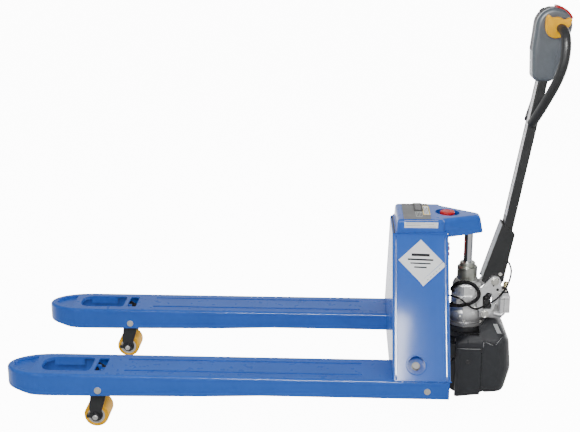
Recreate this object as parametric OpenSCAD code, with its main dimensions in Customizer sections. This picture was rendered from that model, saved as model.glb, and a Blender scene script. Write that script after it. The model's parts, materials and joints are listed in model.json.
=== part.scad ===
/* [Forks] */
// Length of the forks from toe to load face
fork_len = 1150; // [1000:10:1220]
// Width across both forks
forks_w = 685; // [660:5:700]
// Width of one fork
fork_w = 160; // [155:1:170]
// Height of the fork tops above the floor, raised
raised_h = 185; // [183:1:188]
// Plate thickness of the fork skin
fork_t = 5; // [4:0.5:5.5]
// Outside radius of the pressed fork edges
bend_r = 8; // [7:1:10]
// Length of the rounded toe
toe_l = 130; // [120:5:140]

/* [Lift] */
// Travel of the lift ram
stroke = 110; // [100:5:112]
// Diameter of the lift ram rod
rod_d = 27; // [24:1:30]
// Distance of the ram and steering axis behind the load face
ram_x = 240; // [238:1:244]

/* [Wheels] */
// Diameter of a load roller
roller_d = 74; // [70:1:74]
// Width of a load roller
roller_w = 80; // [70:1:80]
// Diameter of the drive wheel
wheel_d = 200; // [190:2:204]
// Width of the drive wheel
wheel_w = 66; // [50:2:70]

/* [Battery mast] */
// Depth of the mast along the truck
mast_d = 168; // [160:1:170]
// Height of the top of the mast plates
mast_top = 557; // [550:1:560]
// Width of the mast at its top
mast_top_w = 194; // [190:1:200]
// Height of the top cover
cover_top = 598; // [594:1:602]

/* [Tiller] */
// Half width of the control head
head_hw = 34; // [32:1:36]
// Diameter of the loop handle tube
loop_d = 28; // [22:1:28]
// Furthest reach of the control head behind the load face
reach_x = 508; // [508:1:512]

/* [Hidden] */
$fn = 48;

mid_x = (reach_x - fork_len) / 2;   // the frame's origin is under the middle of the truck
fork_y = (forks_w - fork_w) / 2;    // centre line of a fork
fork_hw = fork_w / 2;
toe_x = toe_l - fork_len;           // where the rounded toe starts
heel_x = 165;                       // rear end of a fork
skin_in = raised_h - fork_t;        // underside of the fork's top skin

// Roller frame: pivot bolt in the fork, axle at its foot, lug that the push rod drives
frame_piv = [-863, 137];
roller_r = roller_d / 2;
axle_xz = [-880, roller_r];
lug_r = 30;
lug_half = 43;                      // lug swings this far each side of upright
frame_lug = frame_piv + lug_r * [-sin(lug_half), cos(lug_half)];
axle_bolt_r = 9;
run_gap = 0.05;                     // radial clearance of a running fit
rod_y = -252;                       // plane of the push rod, outside the rocker
rod_z = 162;

// Rocker: pivots on the heel pin, rides on the yoke's cross shaft, drives the push rod
heel_piv = [101, 154];
shaft_xz = [36, heel_piv[1] - stroke / 2];
arm_dx = heel_piv[0] - shaft_xz[0];
rocker_half = atan(stroke / 2 / arm_dx);
rod_half_travel = lug_r * sin(lug_half);
crank_r = rod_half_travel / sin(rocker_half);
crank_pin = heel_piv + crank_r * [-sin(rocker_half), cos(rocker_half)];
rocker_y = -236;
jaw_hw = 11.8;
pin_r = 8;

// Mast side plates lean in from the fork edges to the mast top
lean = atan((forks_w / 2 - mast_top_w / 2) / (mast_top - raised_h));
side_len = (mast_top - raised_h) / cos(lean);
access = [69, 49];                  // centre of the access hole, along the plate

// Tiller
tiller_piv = [322, 388];
low_boss = [297, 282];             // pin boss at the foot of the tiller brackets
tube_lean = 9.6;
channel_y = 32;
bracket_y = [35, 43];
head_top = [455, 1170];
grip_xz = [468, 1166];
wheel_xz = [256, wheel_d / 2];

// ---------- helpers ----------
module placed() translate([-mid_x, 0, 0]) children();
module far_side() mirror([0, 1, 0]) children();
module both() { children(); far_side() children(); }
module bar_y(p, r, y0, y1) translate([p[0], y1, p[1]]) rotate([90, 0, 0]) cylinder(r = r, h = y1 - y0);
module slab_y(y0, y1) translate([0, y1, 0]) rotate([90, 0, 0]) linear_extrude(y1 - y0) children();
module box(lo, hi) translate(lo) cube(hi - lo);
module rounded_2d(lo, hi, r) {
    for (x = [lo[0] + r, hi[0] - r], y = [lo[1] + r, hi[1] - r]) translate([x, y]) circle(r);
    translate([lo[0] + r, lo[1]]) square([hi[0] - lo[0] - 2 * r, hi[1] - lo[1]]);
    translate([lo[0], lo[1] + r]) square([hi[0] - lo[0], hi[1] - lo[1] - 2 * r]);
}
function unit(a) = [cos(a), sin(a)];
module link_2d(p1, r1, p2, r2) {
    d = p2 - p1;
    a = atan2(d[1], d[0]);
    b = acos((r1 - r2) / norm(d));
    translate(p1) circle(r1);
    translate(p2) circle(r2);
    polygon([p1 + r1 * unit(a + b), p2 + r2 * unit(a + b), p2 + r2 * unit(a - b), p1 + r1 * unit(a - b)]);
}

// A round tube swept along a list of points, smoothed by a Catmull-Rom curve
function spline_at(p, i, t) = let (
    a = p[max(i - 1, 0)], b = p[i], c = p[i + 1], d = p[min(i + 2, len(p) - 1)])
    0.5 * (2 * b + (c - a) * t + (2 * a - 5 * b + 4 * c - d) * t * t + (3 * b - a - 3 * c + d) * t * t * t);
function smooth_path(p, steps) = concat(
    [for (i = [0:len(p) - 2], k = [0:steps - 1]) spline_at(p, i, k / steps)], [p[len(p) - 1]]);
function direction(p, i) = let (d = p[min(i + 1, len(p) - 1)] - p[max(i - 1, 0)]) d / norm(d);
function ring(p, i, r, sides, side_ref) = let (
    t = direction(p, i), u0 = cross(t, side_ref), u = u0 / norm(u0), v = cross(t, u))
    [for (k = [0:sides - 1]) p[i] + r * (u * cos(k * 360 / sides) + v * sin(k * 360 / sides))];
// A closed solid through rings of equally many points
module lofted(rings) {
    n = len(rings[0]);
    m = len(rings);
    polyhedron(
        points = [for (one = rings) each one],
        faces = concat(
            [[for (k = [0:n - 1]) k]],
            [for (i = [0:m - 2], k = [0:n - 1]) let (k2 = (k + 1) % n, a = i * n, b = a + n)
                each [[a + k, b + k, b + k2], [a + k, b + k2, a + k2]]],
            [[for (k = [n - 1:-1:0]) (m - 1) * n + k]]));
}
module tube_along(p, r, sides, side_ref) lofted([for (i = [0:len(p) - 1]) ring(p, i, r, sides, side_ref)]);

// ---------- forks ----------
function toe_outline(inset) = concat(
    [for (a = [90:-7.5:-90]) [toe_x - (toe_l - inset) * cos(a), (fork_hw - inset) * sin(a)]],
    [[toe_x + 4, inset - fork_hw], [toe_x + 4, fork_hw - inset]]);
toe_step = 0.3;                     // the toe cap sits this far inside the fork's own surface
// Solid toe: the outline carried up from the bottom, its top edge rounded off ring by ring
module toe_block(inset, top, r, bottom) {
    levels = concat([[bottom, inset]], [for (a = [0:15:90]) [top - r + r * sin(a), inset + r - r * cos(a)]]);
    rings = [for (l = levels) [for (p = toe_outline(l[1])) [p[0], p[1], l[0]]]];
    lofted(rings);
}
module channel_2d(hw, top, r, bottom) {
    translate([-hw, bottom]) square([2 * hw, top - r - bottom]);
    translate([-hw + r, bottom]) square([2 * (hw - r), top - bottom]);
    for (s = [-1, 1]) translate([s * (hw - r), top - r]) circle(r);
}
module channel(x0, x1, hw, top, r, bottom)
    translate([x0, 0, 0]) rotate([90, 0, 90]) linear_extrude(x1 - x0) channel_2d(hw, top, r, bottom);
// Lower edge of the fork's sides: a little higher at the toe, highest under the mast
module under_cut() slab_y(-fork_hw - 9, fork_hw + 9) polygon([
    [-fork_len - 9, 60], [-fork_len - 9, 134], [-fork_len + 2, 131], [-fork_len + 14, 127],
    [-fork_len + 46, 124], [-fork_len + 82, 118], [-fork_len + 110, 117.5], [-886, 119], [-561, 124],
    [-384, 130], [heel_x + 9, 130], [heel_x + 9, 60]]);
// Opening in the fork top for the load roller and its frame
well = [[-1043, -48.5], [-892, 48.5]];
well_r = [35, 14];                  // corner radius towards the toe and towards the mast
module well_2d(grow) {
    rounded_2d(well[0] - [grow, grow], well[1] + [grow, grow], well_r[0] + grow);
    rounded_2d([well[1][0] - 60, well[0][1] - grow], well[1] + [grow, grow], well_r[1] + grow);
}
// Narrow slot behind the well for the lug, and the two stiffening grooves along the top
lug_slot = [[-879, -45], [-849, 45]];
groove = [-791, -87];
groove_y = 40;
groove_hw = 4.5;
cut_h = 60;                         // tall enough to cut right through a plate
module fork_skin() {
    translate([0, -fork_y, 0]) difference() {
        union() {
            channel(toe_x, 0, fork_hw, raised_h, bend_r, 100);
            channel(-9, heel_x, fork_hw, raised_h - 0.3, bend_r, 100);
            toe_block(toe_step, raised_h - toe_step, bend_r, 100);
        }
        under_cut();
        channel(toe_x, heel_x - fork_t, fork_hw - fork_t, skin_in, bend_r - fork_t, 60);
        toe_block(fork_t + toe_step, raised_h - 11, bend_r - fork_t, 60);
        // open top under the mast
        box([6, -fork_hw + fork_t, skin_in - 9], [heel_x - fork_t, fork_hw - fork_t, raised_h + 9]);
        // gap in the inner wall for the cross shaft
        box([shaft_xz[0] - 11, 0, 100], [shaft_xz[0] + 11, fork_hw + 9, raised_h + 9]);
        translate([0, 0, 150]) linear_extrude(cut_h) {
            well_2d(0);
            rounded_2d(lug_slot[0], lug_slot[1], 3);
        }
        for (s = [-1, 1]) translate([0, s * groove_y, raised_h - 3]) linear_extrude(cut_h)
            rounded_2d([groove[0], -groove_hw], [groove[1], groove_hw], groove_hw - 0.1);
        // pressed recess in the toe
        translate([0, 0, raised_h - 8]) linear_extrude(12) intersection() {
            polygon(toe_outline(22));
            translate([-fork_len, -fork_hw]) square([84, fork_w]);
        }
        bar_y(frame_piv, axle_bolt_r + run_gap, -fork_hw - 1, fork_hw + 1);
        bar_y(heel_piv, pin_r + run_gap, -fork_hw - 1, fork_hw + 1);
    }
}
module fork_near() color("royalblue") fork_skin();
module fork_far() color("royalblue") far_side() fork_skin();
well_rim = 21;                      // depth of the rim that stiffens the well
module well_walls() color("royalblue") both()
    translate([0, -fork_y, skin_in - well_rim]) linear_extrude(well_rim)
    difference() {
        well_2d(3);
        well_2d(0);
        translate([well[1][0] - 36, -fork_hw]) square([60, fork_w]);
        translate([well[0][0] - 9, -fork_hw]) square([toe_x + 0.5 - well[0][0] + 9, fork_w]);
    }
module fork_braces() color("royalblue") both() for (x = [-760:200:-160])
    box([x - 20, -fork_y - fork_hw + fork_t, 132], [x + 20, -fork_y + fork_hw - fork_t, 136]);
module headed_pin(p, r, head_r, head_h) {
    bar_y(p, r, -fork_y - fork_hw, -fork_y + fork_hw);
    for (y = [-fork_y - fork_hw - head_h, -fork_y + fork_hw]) bar_y(p, head_r, y, y + head_h);
}
module frame_axles() color("silver") both() headed_pin(frame_piv, axle_bolt_r, 10.5, 2.5);
module heel_pins() color("silver") both() headed_pin(heel_piv, pin_r, 9.5, 2);

// ---------- roller frames, rollers, push rods, rockers ----------
frame_in = roller_w / 2 + 1;
frame_out = frame_in + 6;
module frame_side() slab_y(frame_in, frame_out) difference() {
    union() {
        link_2d(frame_piv, 22, axle_xz + [0, 24], 19);
        link_2d(frame_piv + [-6, -22], 24, axle_xz + [0, 24], 19);
        link_2d(axle_xz + [0, 24], 18, axle_xz, 13);
        link_2d(frame_piv, 20, frame_lug, 11);
    }
    translate(frame_piv) circle(axle_bolt_r + run_gap);
}
module roller_frame() translate([0, -fork_y, 0]) {
    frame_side();
    mirror([0, 1, 0]) frame_side();
    difference() {
        bar_y(frame_piv, 11.5, -frame_in, frame_in);
        bar_y(frame_piv, axle_bolt_r + run_gap, -frame_out, frame_out);
    }
    bar_y(frame_lug, 6, -frame_in, frame_in);
    bar_y(axle_xz, pin_r, -frame_out - 12, frame_out + 12);
    for (s = [-1, 1]) bar_y(axle_xz, 12, s * (frame_out + 4) - 4, s * (frame_out + 4) + 4);
    // tabs that keep string and wrap off the roller
    for (s = [-1, 1]) translate([0, s * (frame_out - 2.5), 0])
        box([axle_xz[0] - 28, -3.5, axle_xz[1] - 5], [axle_xz[0] - 12, 3.5, axle_xz[1] + 5]);
}
module frame_near() color("dimgray") roller_frame();
module frame_far() color("dimgray") far_side() roller_frame();
hub_r = 26;
tread_edge = 4;                     // rounding of the roller's two edges
module on_roller_axle()
    translate([axle_xz[0], -fork_y, axle_xz[1]]) rotate([90, 0, 0]) rotate_extrude() children();
module load_tyre() on_roller_axle() {
    translate([hub_r, -roller_w / 2]) square([roller_r - hub_r - tread_edge, roller_w]);
    translate([hub_r, -roller_w / 2 + tread_edge]) square([roller_r - hub_r, roller_w - 2 * tread_edge]);
    for (z = [-1, 1]) translate([roller_r - tread_edge, z * (roller_w / 2 - tread_edge)]) circle(tread_edge);
}
module roller_core() on_roller_axle() difference() {
    translate([pin_r + run_gap, -roller_w / 2]) square([hub_r - pin_r - run_gap, roller_w]);
    for (z = [-1, 1]) translate([12, z * (roller_w / 2) - 3]) square([10, 6]);
}
module roller_near() color("goldenrod") load_tyre();
module roller_far() color("goldenrod") far_side() load_tyre();
module roller_hub_near() color("silver") roller_core();
module roller_hub_far() color("silver") far_side() roller_core();
module push_rod() {
    rod_end_x = 45;
    rod_x = frame_lug[0] + 14;
    translate([rod_x, rod_y, rod_z]) rotate([0, 90, 0]) cylinder(r = 8, h = rod_end_x - rod_x);
    slab_y(rod_y - 4, rod_y + 4) difference() {
        rounded_2d([frame_lug[0] - 14, 148.5], [frame_lug[0] + 16, 178.5], 5);
        link_2d(frame_lug, 7.5, frame_lug + [0, 8], 7.5);
    }
    slab_y(rod_y - 4, rod_y + 4) difference() {
        rounded_2d([rod_end_x - 20, 166], [crank_pin[0] + 15, 200], 5);
        link_2d(crank_pin, 7.5, crank_pin + [0, 7.5], 7.5);
    }
}
module push_rods() color("steelblue") both() push_rod();
module rocker() {
    difference() {
        union() {
            slab_y(rocker_y - 4, rocker_y + 4) {
                link_2d(heel_piv, 16, heel_piv + 75 * unit(180 + rocker_half), 17);
                link_2d(heel_piv, 16, crank_pin, 11);
            }
            bar_y(crank_pin, 6, rod_y - 6, rocker_y);
            bar_y(heel_piv, 14, rocker_y - 5.5, rocker_y + 12);
        }
        bar_y(heel_piv, pin_r + run_gap, rocker_y - 40, rocker_y + 40);
        // open jaw that takes the cross shaft
        translate([heel_piv[0], 0, heel_piv[1]]) rotate([0, -rocker_half, 0])
            box([-120, rocker_y - 9, -jaw_hw], [-54.5, rocker_y + 9, jaw_hw]);
    }
}
module rockers() color("gray") both() rocker();

// ---------- battery mast ----------
module on_side_plate() translate([0, -forks_w / 2, raised_h]) rotate([-lean, 0, 0]) children();
module rolled_2d(depth) difference() {
    union() {
        translate([0, bend_r]) square([mast_d, depth - bend_r]);
        translate([bend_r, 0]) square([mast_d - 2 * bend_r, depth]);
        for (x = [bend_r, mast_d - bend_r]) translate([x, bend_r]) circle(bend_r);
    }
    translate([4, 4]) square([mast_d - 8, depth]);
}
module cup_at(z0, z1, r) on_side_plate() translate([access[0], z0, access[1]]) rotate([-90, 0, 0])
    cylinder(r = r, h = z1 - z0);
module mast_side() {
    difference() {
        union() {
            on_side_plate() linear_extrude(side_len) rolled_2d(rolled_in);
            cup_at(-2, 30, 29);
        }
        cup_at(-3, 27, 25.5);
        box([-9, -forks_w, 0], [mast_d + 9, 0, raised_h]);
    }
}
module mast_side_near() color("royalblue") mast_side();
module mast_side_far() color("royalblue") far_side() mast_side();
module access_bolts() color("silver") both() {
    cup_at(24, 27, 12.5);
    cup_at(15, 24, 10);
}
rolled_in = 2 * bend_r;                    // depth of the side plates' rolled edges
// Half width inside the leaning side plates at height z, for a wall that meets them at this depth
function side_y(z, depth) = forks_w / 2 - (z - raised_h) * tan(lean) - depth / cos(lean) - 0.4;
function tapered(z0, z1, depth) = [
    [-side_y(z0, depth), z0], [side_y(z0, depth), z0], [side_y(z1, depth), z1], [-side_y(z1, depth), z1]];
module wall_x(x0, x1) translate([x0, 0, 0]) rotate([90, 0, 90]) linear_extrude(x1 - x0) children();
module load_face_plate() color("royalblue") wall_x(0.5, 5) {
    polygon(tapered(raised_h + 1, mast_top - 5, rolled_in));
    inner = fork_y - fork_hw - 0.3;
    translate([-inner, 131]) square([2 * inner, raised_h - 129]);
}
rear_x = [142, 146];
module rear_wall() color("dimgray") {
    difference() {
        wall_x(rear_x[0], rear_x[1]) polygon(tapered(raised_h + 1, mast_top - 5, 4));
        wall_x(rear_x[0] - 9, rear_x[1] + 9) {
            rounded_2d([-172, 100], [172, 330], 40);
            rounded_2d([-32, 300], [32, 364], 8);
        }
    }
    // lid that closes the mast below the cover
    difference() {
        box([5.5, -mast_top_w / 2 + 7, mast_top - 5], [mast_d - 4, mast_top_w / 2 - 7, mast_top - 1]);
        box([mast_d - 22, -24, mast_top - 9], [mast_d + 9, 24, mast_top + 9]);
    }
}
module battery_pack() color("dimgray") {
    box([14, -96, 374], [134, 96, 536]);
    box([60, -60, 536], [90, 60, 546]);
}

// ---------- top cover ----------
cover_in = 4;
module cover_block(e) hull() for (s = [-1, 1]) {
    for (x = [24, 146]) translate([x, s * 84, cover_top - 10]) sphere(10 - e, $fn = 32);
    for (x = [24, 146]) translate([x, s * 84, 557 - e]) cylinder(r = 12 - e, h = 4, $fn = 32);
}
module cover_nose(e) hull() for (s = [-1, 1]) {
    translate([140, s * 80, 541 - e]) cylinder(r = 12 - e, h = 2, $fn = 32);
    translate([140, s * 78, cover_top - 12]) sphere(12 - e, $fn = 32);
    translate([261, s * 13, 541 - e]) cylinder(r = 19 - e, h = 2, $fn = 32);
    translate([258, s * 11, cover_top - 20]) sphere(15 - e, $fn = 32);
}
estop_x = 171;
module top_cover() color("royalblue") difference() {
    union() {
        difference() {
            union() {
                cover_block(0);
                cover_nose(0);
                translate([0, 0, mast_top + 0.3]) linear_extrude(3.5) rounded_2d([8, -100], [mast_d, 100], 10);
            }
            cover_block(cover_in);
            cover_nose(cover_in);
            box([0, -110, 500], [mast_d + 0.6, 110, mast_top + 0.2]);
        }
        translate([estop_x, 0, cover_top - 20]) cylinder(r = 41, h = 18);
    }
    translate([estop_x, 0, cover_top - 16]) cylinder(r = 37, h = 30);
    translate([estop_x, 0, cover_top - 40]) cylinder(r = 12, h = 40);
}
module top_panel() color("gray") {
    translate([0, 0, cover_top]) linear_extrude(1.2) rounded_2d([34, -84], [116, 84], 3);
    translate([0, 0, cover_top + 1.2]) linear_extrude(1) rounded_2d([71, 5], [94, 82], 1.5);
}
module lift_arm() color("dimgray") difference() {
    union() {
        box([rear_x[1], -22, 551], [ram_x, 22, 564]);
        translate([ram_x, 0, 551]) cylinder(r = 22, h = 23);
    }
    translate([ram_x, 0, 540]) cylinder(r = rod_d / 2, h = 30);
}
module ram_rod() color("gainsboro") translate([ram_x, 0, 0]) {
    translate([0, 0, 410]) cylinder(r = rod_d / 2, h = 160);
    translate([0, 0, 408]) cylinder(r = 20, h = 8);
}
module estop_collar() color("dimgray") translate([estop_x, 0, 0]) difference() {
    translate([0, 0, cover_top - 32]) union() {
        cylinder(r = 12, h = 16);
        translate([0, 0, 16]) cylinder(r = 17, h = 3);
    }
    translate([0, 0, cover_top - 40]) cylinder(r = 6 + run_gap, h = 40);
}
module estop_button() color("crimson") translate([estop_x, 0, 0]) {
    translate([0, 0, cover_top - 22]) cylinder(r = 6, h = 22);
    translate([0, 0, cover_top - 6]) rotate_extrude() {
        square([22.5, 5]);
        square([18.5, 9]);
        intersection() {
            translate([18.5, 5]) circle(4);
            square([30, 20]);
        }
    }
}
socket_z = [446, 498];
socket_x = 160;
module disconnect_socket() color("dimgray") {
    box([rear_x[1], -17, socket_z[0] - 3], [socket_x, 17, socket_z[1] + 30]);
    box([rear_x[1], -9, socket_z[1] + 8], [socket_x + 17, 9, socket_z[1] + 26]);
}
module disconnect_handle() color("firebrick") slab_y(-8, 8) difference() {
    rounded_2d([socket_x + 0.3, socket_z[0]], [socket_x + 23, socket_z[1]], 4);
    for (z = [socket_z[0] + 8:18:socket_z[1]]) translate([socket_x + 26.5, z]) circle(7);
}

// ---------- yoke ----------
ring_z = [224, 240];
stem_r = 30;
module thrust_yoke() color("dimgray") {
    difference() {
        union() {
            translate([ram_x, 0, ring_z[0]]) cylinder(r = 58, h = ring_z[1] - ring_z[0]);
            box([shaft_xz[0] - 12, -25, ring_z[0] + 1], [ram_x - 40, 25, ring_z[1] + 3]);
            box([shaft_xz[0] - 12, -25, shaft_xz[1]], [shaft_xz[0] + 12, 25, ring_z[1]]);
            bar_y(shaft_xz, 15, -25, 25);
            slab_y(-5, 5) translate([shaft_xz[0] + 11, ring_z[0] + 2]) polygon([[0, -61], [49, 0], [0, 0]]);
        }
        translate([ram_x, 0, 200]) cylinder(r = stem_r + run_gap, h = 60);
        translate([ram_x, 0, ring_z[1]]) cylinder(r = 59, h = 9);
        bar_y(shaft_xz, pin_r, -40, 40);
    }
}
module cross_shaft() color("silver") bar_y(shaft_xz, pin_r, rocker_y - 6, -rocker_y + 6);
module thrust_bearing() color("silver") translate([ram_x, 0, ring_z[1]]) difference() {
    cylinder(r = 55, h = 3.6);
    cylinder(r = stem_r + 2, h = 9);
}

// ---------- pump ----------
flange_z = 244;
module pump_body() color("silver") {
    translate([ram_x, 0, 0]) rotate_extrude() difference() {
        polygon([
        [0, flange_z], [62, flange_z], [62, 253], [54.2, 253], [53, 256], [52, 284], [47, 292], [47, 334],
                 [44, 337], [44, 368], [40, 377], [34, 384], [0, 384]]);
        translate([-1, 290]) square([cyl_r + 1, 120]);
    }
    // shelf for the power pack, between the tiller brackets
    box([ram_x + 40, -34.5, 266], [350, 34.5, 286]);
    // machined pad and port boss on the body
    box([ram_x - 14, -52, 262], [ram_x + 14, -40, 340]);
    bar_y([ram_x - 26, 322], 9, -50, -36);
}
cyl_r = 31;
cyl_top = 426;
module lift_cylinder() color("silver") translate([ram_x, 0, 0]) rotate_extrude() difference() {
    polygon([[0, 290], [cyl_r, 290], [cyl_r, cyl_top - 3], [cyl_r - 3, cyl_top], [0, cyl_top]]);
    translate([-1, 296]) square([21 + run_gap, 130]);
}
module gland_collar() color("silver") translate([ram_x, 0, 0]) rotate_extrude() difference() {
    polygon([[0, cyl_top], [24, cyl_top], [24, cyl_top + 10], [22, cyl_top + 12], [0, cyl_top + 12]]);
    translate([-1, cyl_top - 9]) square([rod_d / 2 + 1 + run_gap, 40]);
}
module pump_fasteners() color("dimgray") {
    for (a = [20:60:340]) translate([ram_x, 0, 253.2]) rotate([0, 0, a]) translate([58, 0, 0])
        cylinder(r = 3.6, h = 5);
    both() {
        bar_y(low_boss, 8, -bracket_y[1] - 4, -bracket_y[1]);
        bar_y([338, 348], 5, -bracket_y[1] - 3, -bracket_y[1]);
    }
}

// ---------- drive unit ----------
carrier_z = [204, 221];
wheel_bolt_r = 12;
module drive_carrier() color("dimgray") {
    translate([ram_x, 0, carrier_z[0]]) {
        cylinder(r = stem_r, h = flange_z - carrier_z[0]);
        linear_extrude(carrier_z[1] - carrier_z[0]) link_2d([0, 0], 56, [40, 0], 56);
    }
    both() {
        slab_y(-54, -40) link_2d(wheel_xz, 24, [wheel_xz[0], 182], 22);
        box([wheel_xz[0] - 30, -54, 190], [wheel_xz[0] + 30, -38, carrier_z[1] - 9]);
    }
    bar_y(wheel_xz, wheel_bolt_r, -60, 60);
    bar_y(wheel_xz, 52, 56, 84);
}
module drive_motor() color("dimgray") difference() {
    union() {
        bar_y(wheel_xz, 66, -84, -62);
        bar_y(wheel_xz, 44, -90, -61);
        for (y = [-80:6:-66]) bar_y(wheel_xz, 69, y - 1.5, y + 1.5);
        box([186, -84, 150], [206, -60, 196]);
    }
    bar_y(wheel_xz, wheel_bolt_r + 1, -95, -55);
}
wheel_rim_r = 72;
module on_wheel_axle()
    translate([wheel_xz[0], 0, wheel_xz[1]]) rotate([90, 0, 0]) rotate_extrude() children();
module drive_tyre() color("dimgray") on_wheel_axle() difference() {
    translate([wheel_rim_r, -wheel_w / 2]) square([wheel_d / 2 - wheel_rim_r, wheel_w]);
    for (s = [-1, 1]) translate([wheel_d / 2, s * wheel_w / 2]) rotate(45) square(6, center = true);
}
module drive_hub() color("silver") on_wheel_axle() difference() {
    translate([wheel_bolt_r + run_gap, -wheel_w / 2]) square([wheel_rim_r - wheel_bolt_r - run_gap, wheel_w]);
    for (s = [-1, 1]) translate([30, s * wheel_w / 2 - 12]) square([32, 24]);
}
module cover_form(e) hull() for (s = [-1, 1]) {
    translate([331, s * 46, 114]) sphere(50 - e, $fn = 32);
    translate([325, s * 52, 62]) sphere(42 - e, $fn = 32);
    translate([332, s * 50, 190]) sphere(42 - e, $fn = 32);
    translate([318, s * 26, 215]) sphere(46 - e, $fn = 32);
    translate([214, s * 88, 24 - 2 * e]) cylinder(r = 8 - e, h = 180 + e, $fn = 24);
}
module cover_shell() difference() {
    cover_form(0);
    cover_form(4);
    box([195, -86, 0], [216, 86, 199]);
    translate([ram_x, 0, 198]) cylinder(r = 64, h = 99);
    box([190, -120, 222], [278, 120, 300]);
    box([190, -120, 0], [400, 120, 18]);
}
seam = [[288, 188], [288, 211], [324, 198], [348, 222], [400, 236]];
module cover_dome() color("dimgray") intersection() {
    cover_shell();
    slab_y(-120, 120) polygon(concat(
        [[190, 188.7]], [for (p = seam) p + [0, 0.7]], [[400, 300], [190, 300]]));
}
module cover_sides() color("dimgray") intersection() {
    cover_shell();
    slab_y(-120, 120) polygon([[190, 24], [285, 24], [285, 187], [190, 187]]);
}
module cover_rear() color("dimgray") intersection() {
    cover_shell();
    slab_y(-120, 120) polygon(concat(
        [[286.5, 46], [286.5, 188]], [for (p = seam) p - [0, 0.8]], [[400, 38], [300, 38]]));
}

// ---------- tiller ----------
module bracket_2d() difference() {
    union() {
        polygon([
            [272, 300], [262, 350], [279, 363], [306, 396], [338, 394], [345, 360], [334, 340], [322, 300],
            [308, 272], [290, 270]]);
        translate(tiller_piv) circle(17);
        translate(low_boss) circle(13);
    }
    polygon([[288, 297], [286, 338], [300, 352], [315, 350], [315, 297]]);
    translate(tiller_piv) circle(pin_r);
    translate([331, 362]) circle(4);
    translate([318, 375]) circle(2.5);
}
module tiller_brackets() color("silver") both() slab_y(-bracket_y[1], -bracket_y[0]) bracket_2d();
module tiller_pin() color("silver") {
    bar_y(tiller_piv, pin_r, -bracket_y[1] - 3, bracket_y[1] + 3);
    both() bar_y(tiller_piv, 9.5, -bracket_y[1] - 2.4, -bracket_y[1]);
}
module valve_block() color("dimgray") {
    box([295, -30, 286.3], [313, 30, 330]);
    box([296, -26, 330], [309, 26, 346]);
    bar_y([299, 318], 8, -40, 40);
    slab_y(-34, -30) polygon([[300, 312], [316, 304], [308, 287], [296, 290]]);
}
module power_pack() color("silver") {
    z0 = 286.3;
    z1 = 338;
    translate([0, 0, z0]) linear_extrude(z1 - z0) rounded_2d([339, -45], [372, 45], 5);
    translate([0, 0, z1]) linear_extrude(12) rounded_2d([343, -42], [368, 20], 3);
    translate([353, -31, z1]) {
        cylinder(r = 8, h = 18);
        cylinder(r = 10, h = 14, $fn = 6);
    }
}
spring_turns = 7;
spring_pitch = 5.4;
spring_r = 13;
module return_spring() color("gray") translate([tiller_piv[0], -spring_turns * spring_pitch / 2, tiller_piv[1]])
    tube_along([for (a = [0:20:360 * spring_turns]) [spring_r * cos(a), a / 360 * spring_pitch, spring_r * sin(a)]],
        2, 8, [0, 1, 0]);
module channel_profile() polygon([
    [304, 370], [282, 387], [337, 569], [344, 565], [372, 545], [376, 537], [367, 488], [352, 405], [350, 388],
    [338, 370]]);
module tiller_channel() color("dimgray") difference() {
    union() {
        for (s = [-1, 1]) slab_y(s * (channel_y - 2) - 2, s * (channel_y - 2) + 2) channel_profile();
        slab_y(-channel_y + 2, channel_y - 2) polygon([[284, 394], [288, 394], [342, 567], [337, 569]]);
        bar_y([338, 409], 5, -channel_y - 2, channel_y + 2);
        bar_y([370.5, 531], 4, -channel_y - 2, channel_y + 2);
        both() bar_y(tiller_piv, 20, -channel_y, -channel_y + 5);
    }
    bar_y(tiller_piv, pin_r + run_gap, -99, 99);
}
module along_tube() translate([tiller_piv[0] + 5.5, 0, tiller_piv[1]]) rotate([0, tube_lean, 0]) children();
tube_hx = 14;                       // half depth and half width of the tiller tube
tube_hy = 27.5;
tube_wall = 3;
module tiller_tube() color("dimgray") along_tube() difference() {
    translate([0, 0, 48]) linear_extrude(600) rounded_2d([-tube_hx, -tube_hy], [tube_hx, tube_hy], 4);
    translate([0, 0, 40]) linear_extrude(620)
        rounded_2d([tube_wall - tube_hx, tube_wall - tube_hy], [tube_hx - tube_wall, tube_hy - tube_wall], 2);
}
loop_route = [
    [grip_xz[0], -head_hw + 2, grip_xz[1]], [471, -58, 1165], [475, -82, 1158], [477, -99, 1140],
    [477, -108, 1112], [474, -110, 1080], [466, -106, 1044], [454, -95, 1006], [440, -78, 968], [425, -57, 928],
    [412, -38, 896], [406, -27, 882]];
module loop_handle() tube_along(smooth_path(loop_route, 3), loop_d / 2, 20, [1, 0, 0]);
module loop_near() color("dimgray") loop_handle();
module loop_far() color("dimgray") far_side() loop_handle();
// The head's side view is the outline wrapped round these circles: centre and radius
head_rounds = [[head_top, 52], [[417, 1096], 21], [[419, 1028], 20], [[445, 1028], 21]];
function wrap_point(a, inset) = let (
    reach = [for (one = head_rounds) one[0] * unit(a) + one[1]],
    k = search(max(reach), reach)[0])
    head_rounds[k][0] + (head_rounds[k][1] - inset) * unit(a);
module head_slice(y, inset) slab_y(y, y + 0.02) polygon([for (a = [0:7.5:352.5]) wrap_point(a, inset)]);
module head_form(e) hull() {
    head_slice(-0.3, e);
    for (a = [0:30:90]) head_slice(-head_hw + 12 - (12 - e) * sin(a), e + 12 - 12 * cos(a));
}
belly_a = [22, 86];
module belly_2d(r0, r1, a0, a1) polygon(concat(
    [for (a = [a0:(a1 - a0) / 8:a1]) head_top + r1 * unit(a)],
    [for (a = [a1:(a0 - a1) / 8:a0]) head_top + r0 * unit(a)]));
module button_at(y, a, z0, z1, r) translate([head_top[0], y, head_top[1]]) rotate([0, 90 - a, 0])
    translate([0, 0, z0]) cylinder(r = r, h = z1 - z0);
lift_a = 128;
lift_y = 13;
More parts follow.
